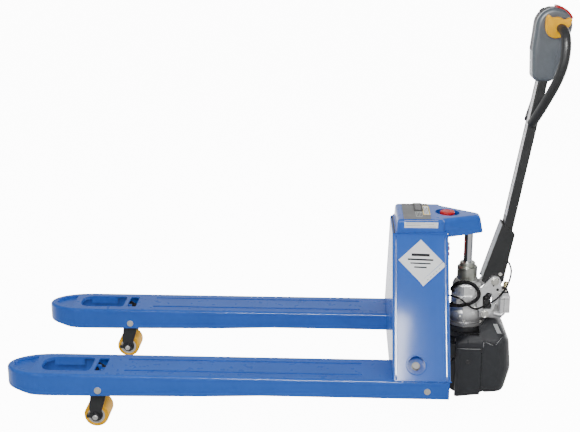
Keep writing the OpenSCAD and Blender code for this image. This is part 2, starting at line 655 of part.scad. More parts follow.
module head_half() difference() {
    head_form(0);
    head_form(4);
    slab_y(-23, 9) belly_2d(40, 70, belly_a[0] - 4, belly_a[1] + 4);
    button_at(-lift_y, lift_a, 40, 70, 8.3);
    slab_y(-26, 9) translate([-4, 0]) cap_2d();
    along_tube() translate([0, 0, 560]) linear_extrude(120)
        square([2 * tube_hx + 1, 2 * tube_hy + 3], center = true);
    bar_y(grip_xz, loop_d / 2 + 0.3, -60, -20);
}
module cap_2d() polygon([[387, 1106], [409, 1106], [411, 1060], [419, 1020], [411, 1008], [387, 1008]]);
module head_near() color("slategray") head_half();
module head_far() color("slategray") far_side() head_half();
module head_cap() color("lightgray") intersection() {
    union() {
        head_form(0);
        far_side() head_form(0);
    }
    slab_y(-25.5, 25.5) translate([-4.6, 0]) cap_2d();
}
module throttle_wing() slab_y(-head_hw - 18, -head_hw - 2) difference() {
    translate(grip_xz) polygon([
        [-41, 33], [-33, 38], [-24, 31], [-4, 32], [11, 25], [24, 30], [33, 25], [31, 13], [20, -4], [14, -18],
        [4, -26], [-14, -29], [-30, -23], [-40, -10], [-43, 8]]);
    translate(grip_xz) circle(loop_d / 2 + 3.5);
}
module throttle_butterfly() color("orange") both() throttle_wing();
module belly_button() color("crimson") slab_y(-22, 22) belly_2d(50, 58, belly_a[0], belly_a[1]);
module thumb_button(y) {
    button_at(y, lift_a, 49, 56, 8);
}
module lift_button() color("dimgray") thumb_button(lift_y);
module lower_button() color("dimgray") thumb_button(-lift_y);

// ---------- cables held on the pump ----------
conduit_route = [
    [202, -14, 346], [193, -18, 352], [197, -27, 365], [208, -38, 379], [226, -48, 387], [246, -50, 385],
    [265, -53, 371], [273, -56, 352], [266, -58, 335], [246, -62, 323], [216, -63, 316], [190, -58, 314],
    [176, -44, 308], [182, -28, 304], [196, -18, 304]];
module cable_conduit() color("dimgray") tube_along(smooth_path(conduit_route, 4), 6, 12, [0, 1, 0]);
cable_route = [
    [196, -24, 332], [184, -40, 340], [190, -60, 345], [214, -71, 341], [238, -75, 322], [262, -73, 309],
    [294, -64, 318], [328, -58, 338], [352, -55, 368], [366, -44, 396], [371, -32, 422], [365, -18, 441],
    [355, -12, 449]];
module tiller_cable() color("dimgray") tube_along(smooth_path(cable_route, 5), 2.5, 8, [0, 1, 0]);

placed() fork_near();
placed() fork_far();
placed() well_walls();
placed() fork_braces();
placed() frame_axles();
placed() heel_pins();
placed() mast_side_near();
placed() mast_side_far();
placed() load_face_plate();
placed() rear_wall();
placed() access_bolts();
placed() battery_pack();
placed() top_cover();
placed() top_panel();
placed() lift_arm();
placed() ram_rod();
placed() estop_collar();
placed() estop_button();
placed() disconnect_socket();
placed() disconnect_handle();
placed() thrust_yoke();
placed() cross_shaft();
placed() thrust_bearing();
placed() pump_body();
placed() lift_cylinder();
placed() gland_collar();
placed() pump_fasteners();
placed() drive_carrier();
placed() drive_motor();
placed() cover_dome();
placed() cover_sides();
placed() cover_rear();
placed() tiller_brackets();
placed() tiller_pin();
placed() valve_block();
placed() power_pack();
placed() return_spring();
placed() cable_conduit();
placed() drive_tyre();
placed() drive_hub();
placed() tiller_channel();
placed() tiller_tube();
placed() loop_near();
placed() loop_far();
placed() head_near();
placed() head_far();
placed() head_cap();
placed() tiller_cable();
placed() throttle_butterfly();
placed() belly_button();
placed() lift_button();
placed() lower_button();
placed() frame_near();
placed() frame_far();
placed() roller_near();
placed() roller_far();
placed() roller_hub_near();
placed() roller_hub_far();
placed() push_rods();
placed() rockers();
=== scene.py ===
"""Looks of the powered pallet truck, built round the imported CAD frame."""

import json
import math
import random

import bmesh
import bpy
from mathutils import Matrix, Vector


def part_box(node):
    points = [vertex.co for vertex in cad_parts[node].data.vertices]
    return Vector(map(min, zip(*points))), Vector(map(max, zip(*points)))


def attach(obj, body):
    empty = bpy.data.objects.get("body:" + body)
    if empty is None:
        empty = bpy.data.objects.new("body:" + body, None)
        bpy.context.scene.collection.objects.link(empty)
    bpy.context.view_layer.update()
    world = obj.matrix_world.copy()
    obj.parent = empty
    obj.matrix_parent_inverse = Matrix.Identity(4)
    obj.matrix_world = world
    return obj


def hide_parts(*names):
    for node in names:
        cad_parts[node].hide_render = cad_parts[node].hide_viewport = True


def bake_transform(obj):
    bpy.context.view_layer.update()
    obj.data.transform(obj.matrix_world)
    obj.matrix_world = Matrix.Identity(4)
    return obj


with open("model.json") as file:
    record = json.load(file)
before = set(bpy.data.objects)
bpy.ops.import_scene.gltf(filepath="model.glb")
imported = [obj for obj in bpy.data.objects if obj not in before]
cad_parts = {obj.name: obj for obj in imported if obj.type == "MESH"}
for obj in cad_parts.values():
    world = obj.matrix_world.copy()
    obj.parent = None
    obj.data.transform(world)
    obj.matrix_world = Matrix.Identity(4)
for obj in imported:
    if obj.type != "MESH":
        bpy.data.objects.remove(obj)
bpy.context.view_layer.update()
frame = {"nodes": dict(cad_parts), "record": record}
nodes = frame["nodes"]
MID_X = 0.321  # the CAD source's X is the row's X less this


def at(x, y, z):
    """A point given in the CAD source's millimetres."""
    return Vector((x / 1000 + MID_X, y / 1000, z / 1000))


# ---------- materials ----------
class Shader:
    """One Principled material and the nodes that feed it."""

    def __init__(self, name):
        self.mat = bpy.data.materials.new(name)
        self.mat.use_nodes = True
        self.tree = self.mat.node_tree
        self.bsdf = self.tree.nodes["Principled BSDF"]
        self.coords = self.add("ShaderNodeTexCoord").outputs["Object"]

    def add(self, kind, **settings):
        node = self.tree.nodes.new(kind)
        for key, value in settings.items():
            setattr(node, key, value)
        return node

    def link(self, source, target):
        self.tree.links.new(source, target)

    def noise(self, scale, detail=3.0, rough=0.5, stretch=None):
        node = self.add("ShaderNodeTexNoise")
        node.inputs["Scale"].default_value = scale
        node.inputs["Detail"].default_value = detail
        node.inputs["Roughness"].default_value = rough
        source = self.coords
        if stretch:
            mapping = self.add("ShaderNodeMapping")
            mapping.inputs["Scale"].default_value = stretch
            self.link(self.coords, mapping.inputs["Vector"])
            source = mapping.outputs["Vector"]
        self.link(source, node.inputs["Vector"])
        return node.outputs["Fac"]

    def ramp(self, fac, stops):
        node = self.add("ShaderNodeValToRGB")
        for i, (place, value) in enumerate(stops):
            if i > 1:
                node.color_ramp.elements.new(place)
            node.color_ramp.elements[i].position = place
            colour = value if isinstance(value, tuple) else (value, value, value)
            node.color_ramp.elements[i].color = (*colour, 1)
        self.link(fac, node.inputs["Fac"])
        return node.outputs["Color"]

    def mix(self, fac, a, b):
        node = self.add("ShaderNodeMix", data_type="RGBA")
        self.link(fac, node.inputs["Factor"])
        for socket, value in ((node.inputs[6], a), (node.inputs[7], b)):
            if isinstance(value, tuple):
                socket.default_value = (*value, 1)
            else:
                self.link(value, socket)
        return node.outputs[2]

    def bump(self, layers, edge):
        """layers: (height output, strength, distance in metres), the finest last. `edge` softens edges."""
        softened = self.add("ShaderNodeBevel", samples=4)
        softened.inputs["Radius"].default_value = edge
        normal = softened.outputs["Normal"]
        for height, strength, distance in layers:
            node = self.add("ShaderNodeBump")
            node.inputs["Strength"].default_value = strength
            node.inputs["Distance"].default_value = distance
            self.link(height, node.inputs["Height"])
            self.link(normal, node.inputs["Normal"])
            normal = node.outputs["Normal"]
        self.link(normal, self.bsdf.inputs["Normal"])

    def colour(self, output):
        self.link(output, self.bsdf.inputs["Base Color"])

    def rough(self, output):
        self.link(output, self.bsdf.inputs["Roughness"])

    def put(self, **values):
        for key, value in values.items():
            socket = self.bsdf.inputs[key.replace("_", " ").title().replace("Ior", "IOR")]
            socket.default_value = (*value, 1) if isinstance(value, tuple) else value


SOFT_EDGE = 0.0012  # how far the shading rounds an edge of paint or plastic
METAL_EDGE = 0.0008


def shade(base, amount):
    """The darker and lighter end of a base colour's drift."""
    return tuple(c * (1 - amount) for c in base), tuple(min(1, c * (1 + amount)) for c in base)


def paint(name, base, rough, coat, grain, peel):
    """Enamel: slight colour drift, rub marks in the gloss, orange peel, softened edges."""
    s = Shader(name)
    low, high = shade(base, 0.05)
    s.colour(s.ramp(s.noise(7, 2), [(0.3, low), (0.7, high)]))
    s.rough(s.ramp(s.noise(40, 4), [(0.3, rough * 0.85), (0.7, rough * 1.2)]))
    s.bump([(s.noise(grain, 2, 0.5), peel, 0.0004), (s.noise(900, 1, 0.5), peel * 0.5, 0.0001)],
           SOFT_EDGE)
    s.put(coat_weight=coat, coat_roughness=0.08)
    return s.mat


def moulded(name, base, rough, texture, bump=0.25, drift=0.08):
    """Moulded plastic with a fine spark-eroded texture and slight rub marks."""
    s = Shader(name)
    low, high = shade(base, drift)
    s.colour(s.ramp(s.noise(35, 4, 0.6), [(0.3, low), (0.72, high)]))
    s.rough(s.ramp(s.noise(22, 4, 0.6), [(0.3, rough * 0.85), (0.72, min(1, rough * 1.2))]))
    cells = s.add("ShaderNodeTexVoronoi", feature="SMOOTH_F1")
    cells.inputs["Scale"].default_value = texture
    s.link(s.coords, cells.inputs["Vector"])
    s.bump([(s.noise(texture * 0.6, 3), bump, 0.0003), (cells.outputs["Distance"], bump, 0.0002)],
           SOFT_EDGE)
    return s.mat


def metal(name, base, rough, grain=400, bump=0.1, stretch=None, drift=0.1, metallic=1.0, painted_shade=None):
    """Bare metal: tone drift, finishing marks along `stretch`, small scratches.
    The last argument holds two heights in metres: painted shade darkens the metal below the first and fades
    to none at the second."""
    s = Shader(name)
    low, high = shade(base, drift)
    tone = s.ramp(s.noise(70, 5, 0.6), [(0.3, low), (0.7, high)])
    # painted shade: the metal is darkened towards the bottom
    if painted_shade:
        height = s.add("ShaderNodeMapRange")
        height.inputs["From Min"].default_value = painted_shade[0]
        height.inputs["From Max"].default_value = painted_shade[1]
        split = s.add("ShaderNodeSeparateXYZ")
        s.link(s.coords, split.inputs[0])
        s.link(split.outputs["Z"], height.inputs["Value"])
        tone = s.mix(height.outputs["Result"], shade(base, 0.68)[0], tone)
    s.colour(tone)
    marks = s.noise(grain * 0.5, 4, 0.6, stretch)
    s.rough(s.ramp(marks, [(0.3, rough * 0.75), (0.72, min(1, rough * 1.35))]))
    s.bump([(s.noise(grain, 4, 0.6, stretch), bump, 0.0003)], METAL_EDGE)
    s.put(metallic=metallic)
    return s.mat


BLUE = (0.028, 0.116, 0.500)
M = {
    "blue_paint": paint("blue_paint", BLUE, 0.30, 0.80, 120, 0.018),
    "blue_edge": paint("blue_edge", BLUE, 0.25, 1.0, 180, 0.03),
    "black_paint": paint("black_paint", (0.024, 0.025, 0.026), 0.42, 0.05, 500, 0.12),
    "rod_chrome": metal("rod_chrome", (0.62, 0.63, 0.65), 0.12, 900, 0.02, (1, 1, 0.03), 0.04),
    "zinc": metal("zinc", (0.62, 0.61, 0.57), 0.34, 700, 0.10),
    # cast alloy with painted shade on its parts below 0.262 m, such as the pump's flange
    "cast_alloy": metal("cast_alloy", (0.66, 0.66, 0.66), 0.46, 520, 0.28, metallic=0.85,
                        painted_shade=(0.262, 0.285)),
    "cylinder_steel": metal("cylinder_steel", (0.42, 0.43, 0.38), 0.34, 600, 0.12, (0.15, 0.15, 1)),
    "cover_plastic": moulded("cover_plastic", (0.041, 0.043, 0.047), 0.38, 1500),
    "head_plastic": moulded("head_plastic", (0.092, 0.108, 0.128), 0.40, 1600, 0.15),
    "cap_plastic": moulded("cap_plastic", (0.46, 0.49, 0.52), 0.45, 1600),
    "black_plastic": moulded("black_plastic", (0.018, 0.018, 0.020), 0.42, 1500),
    "panel_plastic": moulded("panel_plastic", (0.17, 0.172, 0.175), 0.5, 1200, 0.15),
    "yellow_plastic": moulded("yellow_plastic", (1.0, 0.47, 0.0), 0.32, 1400, 0.12),
    "red_plastic": moulded("red_plastic", (0.52, 0.012, 0.018), 0.28, 1400, 0.06),
    "roller_urethane": moulded("roller_urethane", (0.86, 0.42, 0.001), 0.5, 900, 0.15, 0.14),
    "tyre_rubber": moulded("tyre_rubber", (0.018, 0.018, 0.018), 0.75, 900, 0.4),
    "cable_rubber": moulded("cable_rubber", (0.012, 0.012, 0.013), 0.40, 1500, 0.2),
    "sticker_white": moulded("sticker_white", (0.86, 0.87, 0.88), 0.38, 700, 0.03, 0.02),
    "sticker_black": moulded("sticker_black", (0.016, 0.016, 0.018), 0.38, 700, 0.03, 0.05),
    "sticker_grey": moulded("sticker_grey", (0.42, 0.43, 0.43), 0.42, 700, 0.03, 0.05),
    "sticker_pink": moulded("sticker_pink", (0.62, 0.20, 0.18), 0.42, 700, 0.03, 0.05),
    "sticker_yellow": moulded("sticker_yellow", (0.88, 0.66, 0.12), 0.42, 700, 0.03, 0.05),
    "display_glass": moulded("display_glass", (0.014, 0.015, 0.016), 0.12, 300, 0.0, 0.05),
    "bolt_steel": metal("bolt_steel", (0.20, 0.20, 0.18), 0.55, 700, 0.10, metallic=0.15),
    "brass": metal("brass", (0.60, 0.52, 0.28), 0.34, 700, 0.10),
}


def tune(socket, value, *names):
    for name in names:
        M[name].node_tree.nodes["Principled BSDF"].inputs[socket].default_value = value


tune("Coat IOR", 1.3, "blue_paint")
tune("Coat IOR", 2.6, "blue_edge")
tune("Specular IOR Level", 0.03, "blue_paint")
tune("Specular IOR Level", 0.06, "sticker_black", "cable_rubber")
tune("Specular IOR Level", 0.15, "yellow_plastic", "roller_urethane", "red_plastic", "sticker_white",
     "sticker_grey", "cover_plastic")
tune("Specular IOR Level", 0.28, "black_paint")
record_slots = {s["node"]: s["material_slot"] for s in frame["record"]["subparts"]}
for name, obj in nodes.items():
    for i in range(len(obj.material_slots)):
        obj.material_slots[i].material = M[record_slots[name]]
    if not obj.material_slots:
        obj.data.materials.append(M[record_slots[name]])
nodes["access_bolts"].material_slots[0].material = M["bolt_steel"]


# ---------- piece building ----------
def piece(name, verts, faces, mat, body, smooth=True, bevel=0.0):
    """A mesh in the row frame (metres) that rides on a body."""
    mesh = bpy.data.meshes.new(name)
    mesh.from_pydata([tuple(v) for v in verts], [], faces)
    obj = bpy.data.objects.new(name, mesh)
    bpy.context.collection.objects.link(obj)
    bm = bmesh.new()
    bm.from_mesh(mesh)
    bmesh.ops.remove_doubles(bm, verts=bm.verts, dist=2e-6)
    bmesh.ops.recalc_face_normals(bm, faces=bm.faces)
    bm.to_mesh(mesh)
    bm.free()
    for face in mesh.polygons:
        face.use_smooth = smooth
    mesh.materials.append(M[mat])
    if bevel:
        mod = obj.modifiers.new("edges", "BEVEL")
        mod.width = bevel
        mod.segments = 2
        mod.limit_method = "ANGLE"
        mod.angle_limit = math.radians(40)
        mod.harden_normals = True
    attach(obj, body)
    return obj


def joined(parts):
    """Vertices and faces of several (verts, faces) pairs as one."""
    verts, faces = [], []
    for some_verts, some_faces in parts:
        n = len(verts)
        verts += some_verts
        faces += [tuple(i + n for i in face) for face in some_faces]
    return verts, faces


def rings_mesh(rings, closed_ends=True):
    """Faces through rings of equally many points, each ring a closed loop."""
    n = len(rings[0])
    verts = [v for ring in rings for v in ring]
    faces = []
    for i in range(len(rings) - 1):
        for k in range(n):
            k2 = (k + 1) % n
            faces.append((i * n + k, i * n + k2, (i + 1) * n + k2, (i + 1) * n + k))
    if closed_ends:
        faces.append(tuple(range(n - 1, -1, -1)))
        faces.append(tuple((len(rings) - 1) * n + k for k in range(n)))
    return verts, faces


def frame_of(direction):
    """Two unit vectors square to a direction."""
    d = Vector(direction).normalized()
    side = d.cross(Vector((0, 0, 1)) if abs(d.z) < 0.9 else Vector((1, 0, 0))).normalized()
    return side, d.cross(side)


def lathe(centre, direction, profile, sides=40):
    """A turned solid: profile holds (radius, distance along direction), in mm."""
    d = Vector(direction).normalized()
    u, v = frame_of(d)
    rings = []
    for radius, along in profile:
        ring = []
        for k in range(sides):
            a = 2 * math.pi * k / sides
            ring.append(centre + (d * along + (u * math.cos(a) + v * math.sin(a)) * max(radius, 0.01)) / 1000)
        rings.append(ring)
    return rings_mesh(rings)


def curve_point(a, b, c, d, t):
    """Between b and c on the Catmull-Rom curve through four points."""
    return 0.5 * (2 * b + (c - a) * t + (2 * a - 5 * b + 4 * c - d) * t * t
                  + (3 * b - a - 3 * c + d) * t * t * t)


def spline(points, steps):
    """A smooth open curve through points."""
    out = []
    last = len(points) - 1
    for i in range(last):
        near = [points[j] for j in (max(i - 1, 0), i, i + 1, min(i + 2, last))]
        out += [curve_point(*near, k / steps) for k in range(steps)]
    out.append(points[last])
    return out


def swept(path, radius, sides=16, flat=1.0):
    """A tube along a path in metres; radius in mm is a number or a function of the ring's index."""
    rings = []
    u = None
    for i, p in enumerate(path):
        t = (path[min(i + 1, len(path) - 1)] - path[max(i - 1, 0)]).normalized()
        u = frame_of(t)[0] if u is None else (u - t * u.dot(t)).normalized()
        v = t.cross(u)
        r = (radius(i) if callable(radius) else radius) / 1000
        turns = [2 * math.pi * k / sides for k in range(sides)]
        rings.append([p + r * (u * math.cos(a) + v * flat * math.sin(a)) for a in turns])
    return rings_mesh(rings)


def plate(origin, u, v, outline, low, high):
    """A flat plate: outline in mm along u and v from origin, from low to high along their normal."""
    n = u.cross(v)
    rings = [[origin + (u * a + v * b + n * h) / 1000 for a, b in outline] for h in (low, high)]
    return rings_mesh(rings)


def rectangle(a0, b0, a1, b1):
    return [(a0, b0), (a1, b0), (a1, b1), (a0, b1)]


def rounded(a0, b0, a1, b1, r):
    out, steps = [], 4
    for ca, cb, start in ((a1 - r, b0 + r, -90), (a1 - r, b1 - r, 0),
                          (a0 + r, b1 - r, 90), (a0 + r, b0 + r, 180)):
        for k in range(steps + 1):
            angle = math.radians(start + 90 * k / steps)
            out.append((ca + r * math.cos(angle), cb + r * math.sin(angle)))
    return out


def hit(node, start, direction):
    """Where a ray first meets a CAD node's surface."""
    found, place, normal, _ = nodes[node].ray_cast(start, Vector(direction).normalized())
    return (place, normal) if found else (None, None)


def draped(node, outline_at, cells, direction, lift=0.35):
    """A thin sticker on a CAD surface. outline_at(s, t) gives a start point for s and t from 0 to 1."""
    verts, faces = [], []
    na, nb = cells
    for j in range(nb + 1):
        for i in range(na + 1):
            place, normal = hit(node, outline_at(i / na, j / nb), direction)
            if place is None:
                raise RuntimeError(f"sticker misses {node}")
            verts.append(place - Vector(direction).normalized() * lift / 1000)
    for j in range(nb):
        for i in range(na):
            a = j * (na + 1) + i
            faces.append((a, a + 1, a + na + 2, a + na + 1))
    return verts, faces


X, Y, Z = Vector((1, 0, 0)), Vector((0, 1, 0)), Vector((0, 0, 1))

# ---------- mast side plates: label, edge ribs, welds ----------
LEAN = math.radians(33.42)
SIDE_LOW = (342.5, 185.0)  # y and z at the foot of the side plate's outer face


def side_frame(side):
    """Origin, along X, up the slope and outward, on the near (-1) or far (+1) side plate."""
    up = Vector((0, -side * math.sin(LEAN), math.cos(LEAN)))
    out = Vector((0, side * math.cos(LEAN), math.sin(LEAN)))
    return at(0, side * SIDE_LOW[0], SIDE_LOW[1]), up, out


def slope(z):
    """Distance up the side plate at a height."""
    return (z - SIDE_LOW[1]) / math.cos(LEAN)


def on_side(side, outline, low, high):
    """A plate on the side plate: outline in (x, distance up the slope)."""
    origin, up, out = side_frame(side)
    rings = [[origin + (X * a + up * b + out * h) / 1000 for a, b in outline] for h in (low, high)]
    return rings_mesh(rings)


def turned(outline, centre, angle):
    c, s = math.cos(angle), math.sin(angle)
    return [(centre[0] + a * c - b * s, centre[1] + a * s + b * c) for a, b in outline]


MARK = (83.5, slope(486.5))
MARK_R = 66.0
MARK_TURN = math.radians(-1.5)


def mark_part(name, outline, low, high, mat):
    verts, faces = on_side(-1, turned(outline, MARK, MARK_TURN), low, high)
    return piece(name, verts, faces, mat, "chassis", smooth=False)


def diamond(r):
    return [(r, 0), (0, r), (-r, 0), (0, -r)]


mark_part("mark_ground", diamond(MARK_R), 0.1, 0.5, "sticker_white")
mark_part("mark_foot_band", [(MARK_R + 1, -1), (MARK_R + 11, -11), (9, -MARK_R - 12), (0, -MARK_R)],
          0.1, 0.45, "sticker_white")
# plain bars stand in for whatever is printed on the sticker
bars = [(-27, 14, 27, 22), (-38, 1, 38, 6), (-30, -10, 30, -6), (-19, -22, 19, -18)]
verts, faces = joined([on_side(-1, turned(rectangle(*b), MARK, MARK_TURN), 0.5, 0.58) for b in bars])
piece("mark_bars", verts, faces, "sticker_black", "chassis", smooth=False)
dashes = []
for k in range(5):
    t = 0.22 + 0.13 * k
    a = Vector((MARK_R + 5, -5)).lerp(Vector((5, -MARK_R - 6)), t)
    dash = [tuple(a + Vector(p)) for p in ((-2.6, -3.8), (-1.2, -5.2), (3.2, -0.8), (1.8, 0.6))]
    dashes.append(on_side(-1, turned(dash, MARK, MARK_TURN), 0.45, 0.52))
verts, faces = joined(dashes)
piece("mark_band_dashes", verts, faces, "sticker_grey", "chassis", smooth=False)

for side, word in ((-1, "near"), (1, "far")):
    origin, up, out = side_frame(side)
    parts = []
    for x in (10.5, 157.0):
        path = [origin + (X * x + up * b + out * -1.0) / 1000 for b in range(4, 439, 14)]
        parts.append(swept(path, 2.6, 16))
    verts, faces = joined(parts)
    piece(f"edge_ribs_{word}", verts, faces, "blue_edge", "chassis")
    # pressed lip round the access cup
    cup = origin + (X * 69 + up * 49) / 1000
    lip = [(25.4, 0.2), (25.6, 1.3), (26.6, 1.9), (28.2, 1.7), (29.8, 0.9), (31.0, -0.2)]
    verts, faces = rings_mesh([[cup + (out * h + (X * math.cos(a) + up * math.sin(a)) * r) / 1000
                                for a in (2 * math.pi * k / 56 for k in range(56))] for r, h in lip], False)
    piece(f"cup_lip_{word}", verts, faces, "blue_paint", "chassis")
    # weld beads where the mast meets the fork
    rng = random.Random(31 + side)
    beads = []
    x = 4.0
    while x < 162:
        length = rng.uniform(5, 13)
        size = rng.uniform(1.6, 2.8)
        path = [at(x + length * k / 4, side * (341.8 - 0.4 * (k % 2)), 185.4) for k in range(5)]
        beads.append(swept(path, lambda i, s=size: s * (0.45, 0.95, 1.0, 0.9, 0.4)[i], 8))
        x += length * rng.uniform(0.8, 1.25)
    verts, faces = joined(beads)
    piece(f"weld_{word}", verts, faces, "blue_paint", "chassis")

# ---------- top cover: name plate, display, stickers ----------
def cap_side(s, t):
    return at(35 + 101 * s, -300, 574 + 22 * t)


verts, faces = draped("top_cover", cap_side, (16, 4), Y, 0.35)
piece("name_plate", verts, faces, "sticker_white", "chassis")
lines = []
for k, (a, b) in enumerate(((0.05, 0.62), (0.05, 0.88), (0.05, 0.48), (0.72, 0.94))):
    t = (0.78, 0.56, 0.34, 0.16)[k]
    line = lambda s, u, a=a, b=b, t=t: cap_side(a + (b - a) * s, t - 0.035 + 0.07 * u)
    lines.append(draped("top_cover", line, (12, 1), Y, 0.5))
verts, faces = joined(lines)
piece("name_plate_lines", verts, faces, "sticker_grey", "chassis")

PANEL_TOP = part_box("top_panel")[1].z
BASE_TOP = PANEL_TOP - 0.001


def on_top(x0, y0, x1, y1, z, high, r=1.5):
    origin = Vector((at(0, 0, 0).x, 0, z))
    return plate(origin, X, Y, rounded(x0, y0, x1, y1, r), 0, high)


for name, box2, base, high, mat in (
        ("display_bezel", (69, 1, 97, 87), BASE_TOP, 1.6, "black_plastic"),
        ("display_window", (74, 8, 91, 78), BASE_TOP, 1.9, "display_glass"),
        ("panel_label_small", (72, -62, 92, -8), BASE_TOP, 0.25, "sticker_grey"),
        ("panel_label_border", (95, -40, 117, 58), BASE_TOP, 0.25, "sticker_yellow"),
        ("panel_label_white", (98, -35, 114, 53), BASE_TOP, 0.35, "sticker_white")):
    verts, faces = on_top(*box2, base, high)
    piece(name, verts, faces, mat, "chassis", smooth=False)
parts = [on_top(100 + 4.2 * k, -30, 101.6 + 4.2 * k, 44 - 9 * (k % 2), BASE_TOP, 0.4, 0.3) for k in range(4)]
parts += [on_top(75 + 4.4 * k, -56, 77 + 4.4 * k, -16 - 6 * (k % 2), BASE_TOP, 0.32, 0.3) for k in range(4)]
verts, faces = joined(parts)
piece("panel_label_lines", verts, faces, "sticker_black", "chassis", smooth=False)

# E-stop: turning arrows on the mushroom are plain raised bars
button_low, button_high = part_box("estop_button")
centre = (button_low + button_high) / 2
parts = []
for k in range(3):
    a0 = math.radians(120 * k + 12)
    arc = [Vector((centre.x, centre.y, button_high.z)) + Vector((math.cos(a), math.sin(a), 0)) * 0.0125
           for a in (a0 + 0.16 * j for j in range(8))]
    parts.append(swept(arc, lambda i: 0.7 if i < 7 else 0.2, 8))
verts, faces = joined(parts)
piece("estop_bars", verts, faces, "sticker_pink", "estop")

# ---------- forks and load rollers ----------
for side, word in ((-1, "near"), (1, "far")):
    low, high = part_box(f"frame_{word}")
    hub_low, hub_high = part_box(f"roller_hub_{word}")
    hub = (hub_low + hub_high) / 2
    parts, rings = [], []
    for face in (-1, 1):
        end = (low if face < 0 else high).y
        parts.append(lathe(Vector((hub.x, end, hub.z)), (0, face, 0),
                           [(0, -4), (8.3, -4), (8.3, -0.4), (7.2, 0.5), (4, 0.9), (3.4, 0.4), (0, 0.4)], 28))
        hub_end = (hub_low if face < 0 else hub_high).y
        rings.append(lathe(Vector((hub.x, hub_end, hub.z)), (0, face, 0),
                           [(12.5, -2.9), (12.5, -1.6), (15, -1.0), (18.5, -1.0), (19.5, -1.6), (19.5, -2.9)],
                           36))
    verts, faces = joined(parts)
    piece(f"axle_heads_{word}", verts, faces, "zinc", f"{word}_frame")
    verts, faces = joined(rings)
    piece(f"bearing_seals_{word}", verts, faces, "black_plastic", f"{word}_roller")

# ---------- pump, brackets and fittings ----------
PUMP_X = 240
BRACKET_Y = 43
TILLER_PIVOT = (322, 388)
LOW_BOSS = (295, 281)


def at_bracket(x, z, side):
    return at(x, side * BRACKET_Y, z)


for side, word in ((-1, "near"), (1, "far")):
    face = (0, side, 0)
    parts = [
        lathe(at_bracket(*TILLER_PIVOT, side), face,
              [(9.8, -0.5), (12.5, -0.5), (12.5, 0.6), (11.6, 1.2), (10.4, 1.2), (9.8, 0.4)], 40),
        lathe(at_bracket(*LOW_BOSS, side), face,
              [(0, -1), (13, -1), (13, 0.9), (11.8, 1.6), (9.6, 1.6), (9.0, 0.9), (6.6, 0.9), (6.2, 2.6),
               (4.6, 3.6), (0, 3.6)], 40),
    ]
    verts, faces = joined(parts)
    piece(f"bracket_rings_{word}", verts, faces, "zinc", "drive_unit")
    # black discs filling the bracket's holes: painted shade of the hole interiors
    holes = [lathe(at_bracket(x, z, side), face, [(0, -1.4), (r, -1.4), (r, d), (0, d)], 24)
             for x, z, r, d in ((331, 362, 4.3, 0.15), (318, 375, 2.8, 0.15), (332, 396, 2.0, 0.5))]
    verts, faces = joined(holes)
    piece(f"bracket_hole_shade_{word}", verts, faces, "sticker_black", "drive_unit", smooth=False)
    # flat heads, so that they pass the brackets when the tiller tilts
    verts, faces = lathe(at(338, side * 34, 409), face,
                         [(0, -1), (5.8, -1), (5.8, 0.5), (4.9, 0.9), (2.6, 0.9), (2.4, 0.4), (0, 0.4)], 6)
    piece(f"tiller_bolt_{word}", verts, faces, "zinc", "tiller", smooth=False)

# cast pad and plug screws on the pump's near face
pad = [at(244, -38, 352) + Vector((a / 1000, 0, b / 1000)) for a, b in rounded(-19, -22, 19, 22, 6)]
pad_rings = [[p + Vector((0, dy / 1000, 0)) for p in pad] for dy in (0, -7.5)]
inner = [at(244, -38, 352) + Vector((a / 1000, -9 / 1000, b / 1000))
         for a, b in rounded(-16.8, -19.8, 16.8, 19.8, 5)]
verts, faces = rings_mesh(pad_rings + [inner])
piece("pump_pad", verts, faces, "cast_alloy", "drive_unit", smooth=False)
verts, faces = joined([
    lathe(at(PUMP_X + 26, -44, 300), (0.45, -1, 0),
          [(0, -6), (6, -6), (6, 1.5), (5.2, 2.2), (2.6, 2.2), (2.4, 0.8), (0, 0.8)], 6),
    lathe(at(PUMP_X - 22, -46, 272), (-0.3, -1, 0), [(0, -6), (5, -6), (5, 1.2), (4.4, 1.8), (0, 1.8)], 6),
    lathe(at(250, -46.5, 364), (0, -1, 0), [(0, -3), (3.4, -3), (3.4, 1.3), (2.8, 1.8), (0, 1.8)], 20),
    lathe(at(236, -46.5, 338), (0, -1, 0), [(0, -3), (3.4, -3), (3.4, 1.3), (2.8, 1.8), (0, 1.8)], 20)])
piece("pump_screws", verts, faces, "zinc", "drive_unit")

# power pack: cap, joint line, filler knob, foot bracket, small fittings in the bracket window
verts, faces = plate(at(0, 0, 349.6), X, Y, rounded(345, -40, 367, 17, 3), 0, 4)
piece("pack_cap", verts, faces, "black_plastic", "drive_unit", bevel=0.001)
verts, faces = joined([plate(at(0, -45.05, 0), X, Z, rectangle(352.6, 289, 353.6, 336), 0, 0.25),
                       plate(at(0, -45.05, 0), X, Z, rectangle(341, 330.4, 370, 331.2), 0, 0.25)])
piece("pack_joints", verts, faces, "black_plastic", "drive_unit", smooth=False)
knob = [(0, 0), (6.5, 0), (6.5, 8)]
for k in range(5):
    knob += [(8.6, 8.4 + 3.6 * k), (8.6, 10.6 + 3.6 * k), (8.0, 11.2 + 3.6 * k)]
knob += [(7.6, 26.5), (5.5, 28.5), (0, 28.5)]
verts, faces = lathe(at(361, 4, 349), (0.10, 0, 1), [(r * 0.92, h * 0.8) for r, h in knob], 28)
piece("filler_knob", verts, faces, "brass", "drive_unit")
strap = spline([at(322, -40, 283), at(338, -41, 279), at(349, -41, 280), at(354, -41, 286.5)], 6)
verts, faces = swept(strap, 3.4, 10, 1.6)
piece("pack_strap", verts, faces, "cast_alloy", "drive_unit")
fittings = []
for x, z, r in ((309, 338, 5.5), (309, 322, 5.0), (300, 331, 4.0), (312, 308, 4.0)):
    fittings.append(lathe(at(x, -30, z), (0, -1, 0),
                          [(0, -2), (r, -2), (r, 3), (r * 0.75, 3.4), (r * 0.75, 6.5), (0, 7)], 8))
verts, faces = joined(fittings)
piece("valve_fittings", verts, faces, "black_plastic", "drive_unit", smooth=False)

